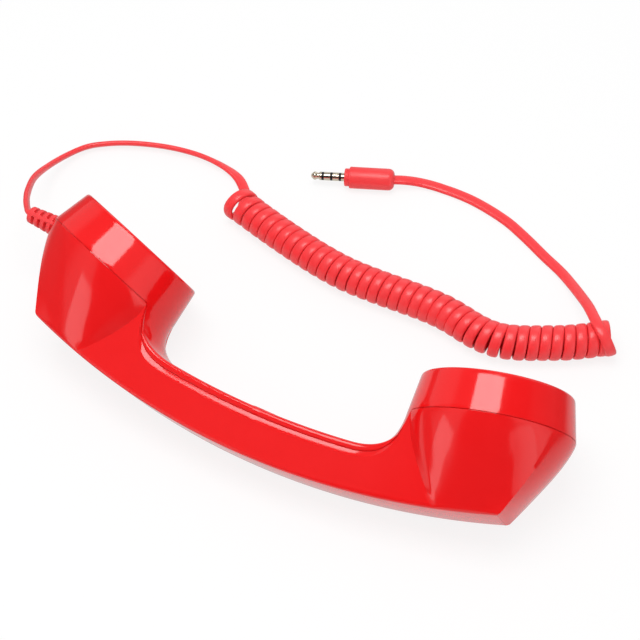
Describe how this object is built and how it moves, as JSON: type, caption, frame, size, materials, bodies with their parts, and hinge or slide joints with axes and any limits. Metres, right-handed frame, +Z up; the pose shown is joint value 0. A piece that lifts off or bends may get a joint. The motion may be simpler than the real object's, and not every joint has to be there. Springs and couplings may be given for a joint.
{
  "type": "telephone handset",
  "caption": "Classic curved telephone handset lying on its side, with two perforated caps, an inline answer button, a curly cord and a moulded audio plug.",
  "frame": {"origin": "centre of the base of the handset's own bounding box, on the surface it lies on", "axes": "+X along the handset from the mouth cup to the ear cup, +Y from the spine side towards the cups' faces, +Z up"},
  "size_m": [0.2593, 0.1624, 0.0602],
  "materials": {
    "red_gloss": "polished moulded ABS",
    "red_satin": "satin flexible PVC",
    "black_plastic": "fine satin",
    "black_rubber": "moulded",
    "foam": "closed-cell foam",
    "cone_film": "pressed film",
    "board_green": "solder-masked laminate",
    "steel": "zinc-plated",
    "aluminium": "drawn can",
    "gold_plate": "thin gold-tinted nickel plate"
  },
  "bodies": {
    "handset": {"front_shell": "red_gloss", "back_shell": "red_gloss", "ear_cap": "red_gloss", "mouth_cap": "red_gloss", "switch_body": "black_plastic", "switch_board": "board_green", "board_screw_1": "steel", "board_screw_2": "steel", "receiver_frame": "black_plastic", "receiver_magnet": "steel", "receiver_diaphragm": "cone_film", "receiver_gasket": "foam", "microphone_capsule": "aluminium", "microphone_boot": "black_rubber", "ballast_bar": "steel", "shell_screw_1": "steel", "shell_screw_2": "steel", "shell_screw_3": "steel", "shell_screw_4": "steel", "strain_relief": "red_satin", "tail_cord": "red_satin", "coil_cord": "red_satin", "plug_lead": "red_satin", "plug_barrel": "red_satin", "jack_tip": "gold_plate", "jack_ring_1": "gold_plate", "jack_ring_2": "gold_plate", "jack_sleeve": "gold_plate", "jack_spacer_1": "black_plastic", "jack_spacer_2": "black_plastic", "jack_spacer_3": "black_plastic"},
    "answer_button": {"answer_button": "red_gloss", "switch_plunger": "black_plastic"}
  },
  "joints": [
    {"name": "answer_button_press", "type": "slide", "parent": "handset", "child": "answer_button", "axis": [0, -0.9163, -0.4005], "range_m": [0, 0.0005], "stiffness_N_per_m": 1200}
  ]
}
